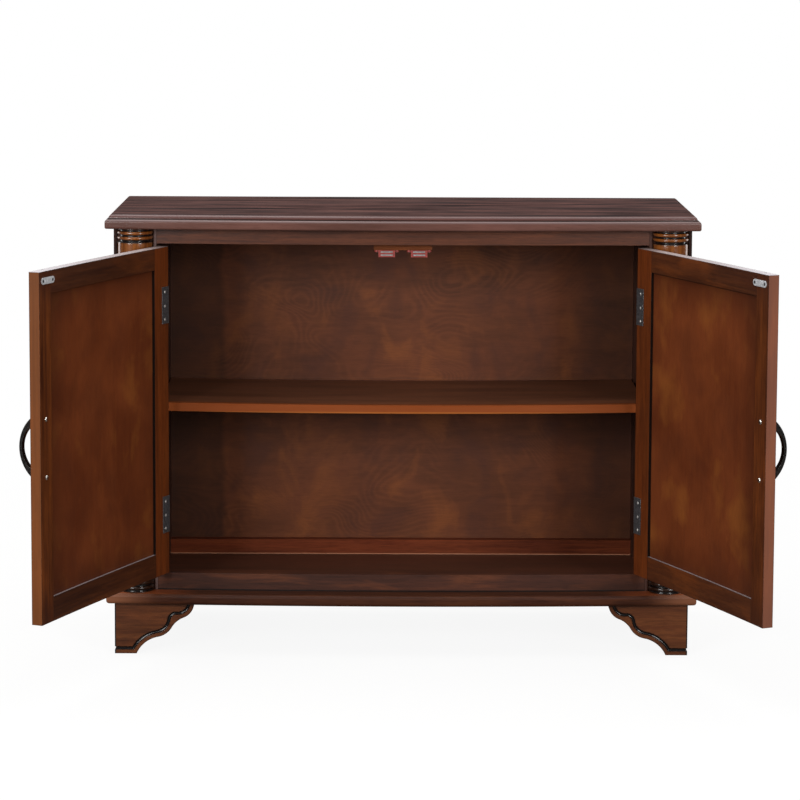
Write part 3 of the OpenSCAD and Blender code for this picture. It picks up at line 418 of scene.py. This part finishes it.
# painted highlight on the front strip, strong on the left and faint on the right
stripSheenLook = {"from": 0.4325, "to": 0.4365, "colour": "#6b5855", "share": {"left": 0.6, "right": 0.15}}
stripSheens = [{"axis": "x", "between": (outward[side] * stripSheenLook["from"], outward[side] * stripSheenLook["to"]),
           "colour": stripSheenLook["colour"], "share": stripSheenLook["share"][side], "soft": 0.0004,
           "fade": ("y", frontY + 2 * mm, frontY + 1 * mm)} for side in sides]
dress([side + part for side in sides for part in caseParts],
      stainedWood("caseStain", {**caseLook, "bands": stripSheens}))
dress(["foot_blocks"], stainedWood("rawGlueBlock", {
    **caseLook, "dark": "#4b3325", "mid": "#5f4230", "light": "#7b5a42"}))
dress(["catch_block"], stainedWood("catchBlockStain", {
    "grain": "x", "dark": "#4a2412", "mid": "#5e3118", "light": "#784222", "streaks": 0.4, "specular": 0.1,
    "coat": 0.0, "seed": 11.0}))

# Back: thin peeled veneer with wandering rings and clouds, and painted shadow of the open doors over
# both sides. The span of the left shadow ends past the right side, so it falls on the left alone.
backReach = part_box("bottom_back_rail")[1].x
# painted shadow of the left door, with a crisp wavering edge
leftDoorShadow = {"axis": "x", "between": (-backReach + 0.10, backReach + 0.1), "outside": True, "soft": 0.008,
             "waver": 0.03, "colour": "#1c100a", "share": 0.5}
# painted shadow, soft, at both sides
sideDoorShadows = {"axis": "x", "between": (-backReach + 0.01, backReach - 0.09), "outside": True, "soft": 0.06,
             "waver": 0.06, "colour": "#1c0f09", "share": 0.55}
backLook = {
    "grain": "x", "dark": "#482614", "mid": "#5d311b", "light": "#794224", "streaks": 0.25, "broadAlong": 260,
    "broadAcross": 150, "streakAlong": 90, "streakAcross": 12, "poreDepth": 0.12, "roughness": 0.5,
    "specular": 0.2, "coat": 0.0,
    "rings": {"along": 260, "across": 170, "count": 44, "depth": 0.17, "wobble": 0.012, "wobbleAlong": 60,
              "wobbleAcross": 14, "patchAlong": 170, "patchAcross": 120},
    "cloud": {"along": 70, "across": 95, "light": "#84491f", "dark": "#3f221b", "pale": 0.38, "deep": 0.45,
              "swirl": 0.5},
    "bands": [leftDoorShadow, sideDoorShadows], "seed": 12.0,
}
dress(["back_panel"], stainedWood("backVeneer", backLook))
dress(["bottom_panel"], stainedWood("floorPanelStain", {
    "grain": "x", "dark": "#40271c", "mid": "#563224", "light": "#704433", "streaks": 0.4, "specular": 0.15,
    "coat": 0.0, "seed": 13.0}))

# Back rails: reddish stain, worn to bare wood along the lower edge
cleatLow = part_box("bottom_back_rail")[0].z
wornEdge = {"axis": "z", "between": (cleatLow - 1 * mm, cleatLow + 1.6 * mm), "colour": "#9a6a50",
            "soft": 0.0005}
dress(["top_back_rail", "bottom_back_rail"], stainedWood("cleatStain", {
    "grain": "x", "dark": "#461e11", "mid": "#602a17", "light": "#7c3d20", "streaks": 0.45, "specular": 0.1,
    "coat": 0.0, "seed": 14.0, "bands": [wornEdge]}))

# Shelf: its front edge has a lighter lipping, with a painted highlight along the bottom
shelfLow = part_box("shelf")[0]
lipping = {"axis": "y", "between": (shelfLow.y - 1 * mm, shelfLow.y + 13.5 * mm), "colour": "#7a380f",
           "soft": 0.0004, "share": 0.8}
# painted highlight: a pale line along the lower front edge
shelfEdgeHighlight = {"axis": "z", "between": (shelfLow.z - 1 * mm, shelfLow.z + 3 * mm), "colour": "#9a5a24",
            "soft": 0.0006, "share": 0.5}
dress(["shelf"], stainedWood("shelfStain", {
    "grain": "x", "dark": "#4e2e1f", "mid": "#69402d", "light": "#8c573a", "streaks": 0.45, "specular": 0.12,
    "coat": 0.0, "seed": 15.0, "edgeTonerAndShade": 0.0, "bands": [lipping, shelfEdgeHighlight]}))
print("case done")

# Columns: turned beech under a full gloss, with black glaze in the grooves and on the necks
columnLook = {
    "grain": "z", "dark": "#562a0e", "mid": "#733d16", "light": "#965a22", "streaks": 0.5, "roughness": 0.4,
    "specular": 0.1, "coat": 1.0, "coatRoughness": 0.15, "edgeRadius": 0.001, "edgeTonerAndShade": 0.0,
    "glaze": "#080404", "seed": 21.0,
}
columnGlaze = {"glazed": 0.0288, "clear": 0.0303}  # from the axis: where the glaze is full and where it ends
# from the top down: the neck, the shoulder under the beads, and the foot, glazed black and painted with the
# doors' shade
glazeAndShadeHeights = [(caseTop - 2.2 * mm, caseTop + 1 * mm), (caseTop - 25.5 * mm, caseTop - 19.5 * mm),
                 (baseTop - 1 * mm, baseTop + 27.5 * mm)]
necks = [{"axis": "z", "between": span, "colour": "#0c0605", "soft": 0.0012, "share": 0.92}
         for span in glazeAndShadeHeights]
for side in sides:
    low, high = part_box(side + "_column")
    dress([side + "_column"], stainedWood(side + "TurnedBeech", {
        **columnLook, "bands": necks, "turned": {"x": (low.x + high.x) / 2, "y": high.y, **columnGlaze}}))

# Feet: brown stain with black glaze in the cut line and down the outer edge
footLook = {
    "dark": "#3f1f0f", "mid": "#542b16", "light": "#70401f", "streaks": 0.45, "edgeTonerAndShade": 0.85,
    "glazeRadius": 0.0045, "glaze": "#140a07", "coat": 0.7, "coatRoughness": 0.09, "roughness": 0.42,
    "specular": 0.1,
    "cloud": {"along": 90, "across": 40, "light": "#6f4020", "dark": "#331a0f", "pale": 0.4, "deep": 0.4},
}
cutGlaze = {"from": 0.4 * mm, "to": 3.5 * mm, "colour": "#0a0606", "soft": 0.0003}  # behind the face
outerGlaze = {"out": 1 * mm, "in": 1.8 * mm, "colour": "#0c0706", "soft": 0.0003}
for side in sides:
    sign = outward[side]
    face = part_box(side + "_front_foot")[0].y
    flank = max(abs(corner.x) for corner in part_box(side + "_side_feet")) * sign
    inFront = {**cutGlaze, "axis": "y", "between": (face + cutGlaze["from"], face + cutGlaze["to"])}
    atSide = {**cutGlaze, "axis": "x",
              "between": (flank - sign * cutGlaze["from"], flank - sign * cutGlaze["to"])}
    outerEdge = {**outerGlaze, "axis": "x",
                 "between": (flank + sign * outerGlaze["out"], flank - sign * outerGlaze["in"])}
    dress([side + "_front_foot"], stainedWood(side + "FrontFootStain", {
        **footLook, "grain": "x", "seed": 23.0 + sign, "bands": [inFront, outerEdge]}))
    dress([side + "_side_feet"], stainedWood(side + "SideFeetStain", {
        **footLook, "grain": "y", "seed": 26.0 + sign, "bands": [atSide]}))
print("columns and feet done")

# Doors: the toner is heavier on the rails and round the border of the veneered panel
doorLooks = {
    "hingeStile": {"grain": "z", "dark": "#47200c", "mid": "#5e2a0f", "light": "#7e3f18", "streaks": 0.4},
    "meetingStile": {"grain": "z", "dark": "#33150a", "mid": "#4e2511", "light": "#7a4018", "streaks": 0.5},
    "rail": {"grain": "x", "dark": "#2f160c", "mid": "#442212", "light": "#63361a", "streaks": 0.45},
    "panel": {"grain": "z", "dark": "#542612", "mid": "#653118", "light": "#7c421c", "streaks": 0.15,
              "broadAlong": 120, "broadAcross": 110, "streakAlong": 90, "streakAcross": 7, "poreDepth": 0.1,
              "cloud": {"along": 95, "across": 75, "light": "#8b5222", "dark": "#482213", "pale": 0.36,
                        "deep": 0.38, "swirl": 0.15}},
}
doorCommon = {"roughness": 0.42, "specular": 0.15, "coat": 0.05, "edgeTonerAndShade": 0.8, "glazeRadius": 0.002,
              "cloud": {"along": 120, "across": 40, "light": "#7a3d16", "dark": "#32160c", "pale": 0.3,
                        "deep": 0.3, "swirl": 0.3}}
doorTones = {
    "left": {"railShade": 0.3, "shadowShare": 0.25, "freeEdge": "#76441f"},
    "right": {"railShade": 0.05, "shadowShare": 0.75, "freeEdge": "#8a5845"},
    # painted shade in the recess and a painted shadow under the top rail
    # the ledge colour is a painted highlight
    "toner": "#35180c", "recessShade": "#160b07", "wallShade": "#120a07", "shade": "#180c08", "ledge": "#8c7f80",
    # painted highlight on the door's upper edge, near the hinge and at the free end
    "highlightNear": "#8c7a76", "highlightFar": "#cfc9cd",
}
for side in sides:
    sign, tones = outward[side], doorTones[side]
    seed = 31.0 + 6 * sign
    common = {**doorCommon, "side": side}
    meetSpan = closedSpan(side + "_meeting_stile", side)
    hingeSpan = closedSpan(side + "_hinge_stile", side)
    freeEdge, meetInner = min(meetSpan, key=abs), max(meetSpan, key=abs)
    hingeEdge, hingeInner = max(hingeSpan, key=abs), min(hingeSpan, key=abs)
    # painted highlight on the upper edge of the door, paler towards its free end
    topFace = {"axis": "z", "between": (doorHigh - 0.4 * mm, doorHigh + 1 * mm), "soft": 0.0002}
    topHighlight = {**topFace, "colour": doorTones["highlightNear"]}
    topGlare = {**topFace, "colour": doorTones["highlightFar"], "fade": ("x", hingeEdge, freeEdge)}
    edgeBand = {"axis": "x", "between": (freeEdge - 0.4 * mm, freeEdge + 0.4 * mm), "soft": 0.0002,
                "colour": tones["freeEdge"], "share": 0.5}
    # painted highlight: a pale line on the ledge of the bottom rail under the panel
    ledge = {"axis": "z", "between": (paneLow - 0.3 * mm, paneLow + 1 * mm), "soft": 0.0002,
             "colour": doorTones["ledge"]}
    # painted shade on the recess wall by the hinge stile and in the panel's corner beside it, and a
    # painted shadow along the panel's upper edge under the top rail
    wallShade = {"axis": "x", "between": (hingeInner - 0.5 * mm, hingeInner + 0.5 * mm), "soft": 0.0002,
            "colour": doorTones["wallShade"]}
    # painted shadow under the top rail
    under = {"axis": "z", "between": (paneHigh - 2.4 * mm, paneHigh + 10 * mm), "soft": 0.0008,
             "colour": doorTones["recessShade"], "share": tones["shadowShare"]}
    # painted shade in the panel's corner by the hinge stile
    corner = {"axis": "x", "between": (hingeInner, hingeInner - sign * 1.2 * mm), "soft": 0.0006,
              "colour": doorTones["recessShade"], "share": 0.6}
    shade = {"axis": "x", "between": (meetInner + sign * 0.03, hingeInner - sign * 0.07), "soft": 0.05,
             "colour": doorTones["shade"], "share": tones["railShade"]}
    ends = {"axis": "z", "between": (paneLow, paneHigh), "outside": True, "soft": 0.03, "waver": 0.02,
            "colour": doorTones["toner"], "share": 0.6}
    # the toner leaves the panel's side by the hinges alone
    border = [{"axis": "x", "between": (hingeInner + sign, meetInner + sign * 0.035), "outside": True,
               "soft": 0.04, "waver": 0.03, "colour": doorTones["toner"], "share": 0.6},
              {"axis": "z", "between": (paneLow + 0.015, paneHigh - 0.03), "outside": True, "soft": 0.04,
               "waver": 0.04, "colour": doorTones["toner"], "share": 0.6}, under, corner]
    dress([side + "_hinge_stile"], stainedWood(side + "HingeStileStain", {
        **doorLooks["hingeStile"], **common, "seed": seed, "bands": [wallShade, topHighlight, topGlare]}))
    dress([side + "_meeting_stile"], stainedWood(side + "MeetingStileStain", {
        **doorLooks["meetingStile"], **common, "seed": seed + 1,
        "bands": [ends, edgeBand, topHighlight, topGlare]}))
    dress([side + "_door_top_rail"], stainedWood(side + "TopRailStain", {
        **doorLooks["rail"], **common, "seed": seed + 2, "bands": [shade, topHighlight, topGlare]}))
    dress([side + "_door_bottom_rail"], stainedWood(side + "BottomRailStain", {
        **doorLooks["rail"], **common, "seed": seed + 3, "bands": [ledge]}))
    dress([side + "_door_panel"], stainedWood(side + "PanelVeneer", {
        **common, **doorLooks["panel"], "seed": seed + 4, "bands": border}))
print("doors done")


# Plated, lacquered and toned metals, and the moulded plastic of the catches. Small dents and
# dust in the finish break up their highlights, and the plating is worn brighter along the
# edges. The speckle is 3 mm wide, coarser than real dust, so that it shows.
hardDefaults = {"speckle": 3, "dust": (0.35, 0.65), "edgeRadius": 0.0004, "glossier": 0.08, "duller": 0.1,
                "relief": 0.15, "reliefDepth": 0.0001}


def hardFinish(name, look):
    look = {**hardDefaults, **look}
    material, tree = newMaterial(name)
    coords = addNode(tree, "ShaderNodeTexCoord").outputs["Object"]
    speckle = addNode(tree, "ShaderNodeTexNoise", {"Scale": 1000 / look["speckle"], "Detail": 3.0},
                      {"Vector": coords})
    low, high = look["dust"]
    grime = addNode(tree, "ShaderNodeMapRange", {"From Min": low, "From Max": high}, {"Value": speckle})
    tone = addNode(tree, "ShaderNodeMix", {
        "data_type": "RGBA", 6: linearFromHex(look["dark"]), 7: linearFromHex(look["light"])}, {0: grime})
    rounded = addNode(tree, "ShaderNodeBevel", {"samples": 4, "Radius": look["edgeRadius"]})
    flat = addNode(tree, "ShaderNodeNewGeometry").outputs["Normal"]
    facing = addNode(tree, "ShaderNodeVectorMath", {"operation": "DOT_PRODUCT"}, {0: rounded, 1: flat})
    tone = stainAndLightOver(tree, tone, look["rim"], facing, *slopes["rim"])
    dull = addNode(tree, "ShaderNodeMapRange", {
        "To Min": look["roughness"] - look["glossier"], "To Max": look["roughness"] + look["duller"]},
        {"Value": speckle})
    bump = addNode(tree, "ShaderNodeBump", {"Strength": look["relief"], "Distance": look["reliefDepth"]},
                   {"Height": speckle, "Normal": rounded})
    shader = addNode(tree, "ShaderNodeBsdfPrincipled", {"Metallic": look["metallic"]},
                     {"Base Color": tone, "Roughness": dull, "Normal": bump})
    addNode(tree, "ShaderNodeOutputMaterial", {}, {"Surface": shader})
    return material


hardLooks = {
    "hingeSteel": {"dark": "#3e3f42", "light": "#5d5f62", "rim": "#909094", "metallic": 0.6,
                   "roughness": 0.38},  # stamped and lacquered: dark grey with soft lights
    "screwSteel": {"dark": "#9c9a97", "light": "#c4c2be", "rim": "#d0ceca", "metallic": 0.5,
                   "roughness": 0.3},  # turned and tumbled: small pale heads
    "nickelPlate": {"dark": "#b4b2ac", "light": "#d8d6d0", "rim": "#e4e2dc", "metallic": 1.0,
                    "roughness": 0.26},  # bright plating over steel: small sharp lights
    "zincPlate": {"dark": "#a9abae", "light": "#c9cbce", "rim": "#dfe1e3", "metallic": 0.3,
                  "roughness": 0.4},  # stamped steel, zinc plated: an even pale grey
    "blackScrew": {"dark": "#17171a", "light": "#2a2a2d", "rim": "#4a4a4d", "metallic": 0.6,
                   "roughness": 0.35},  # black oxide on steel: dark heads with a faint rim
    "poleSteel": {"dark": "#8b9899", "light": "#a9b6b6", "rim": "#c0caca", "metallic": 0.6,
                  "roughness": 0.35},  # ground flat: a cool grey edge
    "antiqueBronze": {"dark": "#242322", "light": "#403d3b", "rim": "#77736f", "metallic": 0.8,
                      "roughness": 0.24},  # cast and darkened: black-brown with long lights
    "catchPlastic": {"dark": "#782720", "light": "#8c332b", "rim": "#963c33", "metallic": 0.0,
                     "roughness": 0.5},  # moulded ABS: a plain satin red-brown
}
finishes = {name: hardFinish(name, look) for name, look in hardLooks.items()}
for side in sides:
    dress([side + "_jamb_leaves", side + "_door_leaves"], finishes["hingeSteel"])
    dress([side + "_strike_plate"], finishes["zincPlate"])
    dress([side + "_strike_screws"], finishes["blackScrew"])
    dress([side + "_door_screws"], finishes["screwSteel"])
    dress([side + "_handle_screws"], finishes["nickelPlate"])
    dress([side + "_handle"], finishes["antiqueBronze"])
dress(["hinge_pins"], finishes["hingeSteel"])
dress(["catch_magnets"], finishes["poleSteel"])
dress(["jamb_screws", "shelf_pins", "catch_screws"], finishes["screwSteel"])
dress(["catch_cases"], finishes["catchPlastic"])
print("metals done")

# Floor and world. Seen directly they are white, as behind a product on a sweep. To everything
# else they are a plain grey floor and a sky that grows darker towards the horizon.
studio = {"floorSize": 14.0, "seenFloor": "#e6e5e3", "litFloor": "#6b6763", "whiteNear": 0.90,
          "nearReach": 0.9, "farReach": 2.2, "horizon": 0.05, "zenith": 0.62, "glowLow": 0.2,
          "glowHigh": 0.85}


def buildStudio(look):
    mesh = bpy.data.meshes.new("studioFloor")
    half = look["floorSize"] / 2
    corners = [(-half, -half, 0), (half, -half, 0), (half, half, 0), (-half, half, 0)]
    mesh.from_pydata(corners, [], [(0, 1, 2, 3)])
    floor = bpy.data.objects.new("studioFloor", mesh)
    bpy.context.scene.collection.objects.link(floor)
    material, tree = newMaterial("paleStudioFloor")
    seen = addNode(tree, "ShaderNodeLightPath").outputs["Is Camera Ray"]
    tone = addNode(tree, "ShaderNodeMix", {
        "data_type": "RGBA", 6: linearFromHex(look["litFloor"]), 7: linearFromHex(look["seenFloor"])},
        {0: seen})
    paint = addNode(tree, "ShaderNodeBsdfDiffuse", {}, {"Color": tone})
    white = addNode(tree, "ShaderNodeEmission", {"Color": (1, 1, 1, 1), "Strength": 1.0})
    coords = addNode(tree, "ShaderNodeTexCoord").outputs["Object"]
    away = addNode(tree, "ShaderNodeVectorMath", {"operation": "LENGTH"}, {0: coords})
    fade = addNode(tree, "ShaderNodeMapRange", {
        "From Min": look["nearReach"], "From Max": look["farReach"], "To Min": look["whiteNear"]},
        {"Value": away})
    share = addNode(tree, "ShaderNodeMath", {"operation": "MULTIPLY"}, {0: fade, 1: seen})
    both = addNode(tree, "ShaderNodeMixShader", {}, {0: share, 1: paint, 2: white})
    addNode(tree, "ShaderNodeOutputMaterial", {}, {"Surface": both})
    mesh.materials.append(material)

    world = bpy.data.worlds.new("studioWorld")
    bpy.context.scene.world = world
    world.use_nodes = True
    tree = world.node_tree
    tree.nodes.clear()
    direction = addNode(tree, "ShaderNodeTexCoord").outputs["Generated"]
    height = addNode(tree, "ShaderNodeSeparateXYZ", {}, {0: direction}).outputs["Z"]
    glow = addNode(tree, "ShaderNodeMapRange", {
        "From Min": look["glowLow"], "From Max": look["glowHigh"], "To Min": look["horizon"],
        "To Max": look["zenith"]}, {"Value": height})
    soft = addNode(tree, "ShaderNodeBackground", {"Color": (1, 1, 1, 1)}, {"Strength": glow})
    bright = addNode(tree, "ShaderNodeBackground", {"Color": (1, 1, 1, 1), "Strength": 1.0})
    seen = addNode(tree, "ShaderNodeLightPath").outputs["Is Camera Ray"]
    both = addNode(tree, "ShaderNodeMixShader", {}, {0: seen, 1: soft, 2: bright})
    addNode(tree, "ShaderNodeOutputWorld", {}, {"Surface": both})


buildStudio(studio)

# Each lamp: where it stands, what it looks at, its width and height, and its power in watts
lamps = {
    "leftSoftbox": {"at": (-2.45, -3.5, 1.45), "aim": (0.1, 0, 0.45), "size": (1.9, 1.3), "power": 147},
    "rightSoftbox": {"at": (2.35, -3.6, 1.45), "aim": (-0.1, 0, 0.45), "size": (1.3, 1.3), "power": 107},
    "leftCanopy": {"at": (-0.75, 0.2, 2.9), "aim": (-0.75, 0.21, 0.0), "size": (1.5, 2.8), "power": 36},
    "rightCanopy": {"at": (0.8, 0.2, 2.9), "aim": (0.8, 0.21, 0.0), "size": (1.5, 2.8), "power": 26},
    "leftRim": {"at": (-2.7, 1.7, 0.9), "aim": (-0.45, 0.0, 0.5), "size": (1.3, 1.7), "power": 21},
    "rightRim": {"at": (2.7, 1.7, 0.9), "aim": (0.45, 0.0, 0.5), "size": (1.3, 1.7), "power": 18},
}
for name, lamp in lamps.items():
    data = bpy.data.lights.new(name, "AREA")
    data.shape = "RECTANGLE"
    data.size, data.size_y = lamp["size"]
    data.energy = lamp["power"]
    light = bpy.data.objects.new(name, data)
    light.location = lamp["at"]
    light.rotation_euler = (Vector(lamp["aim"]) - Vector(lamp["at"])).to_track_quat("-Z", "Y").to_euler()
    bpy.context.scene.collection.objects.link(light)
print("studio done")

# Camera: fitted to the corners of the case and the doors in the photograph. Places are in
# metres, "front" from the strips beside the doors, turns in radians, the sensor in mm and the
# rest in pixels.
cameraLook = {"right": -0.0259, "front": 4.8949, "up": 1.2671, "pitch": 0.1076, "yaw": 0.0042, "roll": 0.0046,
              "focalPixels": 2808.6, "principalRow": 240, "pictureSize": 800, "sensorWidth": 36}


def buildCamera(look):
    pitch, yaw, roll = look["pitch"], look["yaw"], look["roll"]
    forward = Vector((math.sin(yaw) * math.cos(pitch), math.cos(yaw) * math.cos(pitch), -math.sin(pitch)))
    level = Vector((math.cos(yaw), -math.sin(yaw), 0))
    above = level.cross(forward)
    right = math.cos(roll) * level + math.sin(roll) * above
    up = math.cos(roll) * above - math.sin(roll) * level
    data = bpy.data.cameras.new("photoCamera")
    data.sensor_width = look["sensorWidth"]
    data.lens = look["focalPixels"] * look["sensorWidth"] / look["pictureSize"]
    data.shift_y = (look["principalRow"] - look["pictureSize"] / 2) / look["pictureSize"]
    data.clip_start, data.clip_end = 0.1, 60
    camera = bpy.data.objects.new("photoCamera", data)
    bpy.context.scene.collection.objects.link(camera)
    place = Matrix((right, up, -forward)).transposed().to_4x4()
    place.translation = Vector((look["right"], frontY - look["front"], look["up"]))
    camera.matrix_world = place
    bpy.context.scene.camera = camera


buildCamera(cameraLook)
bpy.context.scene.view_settings.view_transform = "Standard"
print("camera done")
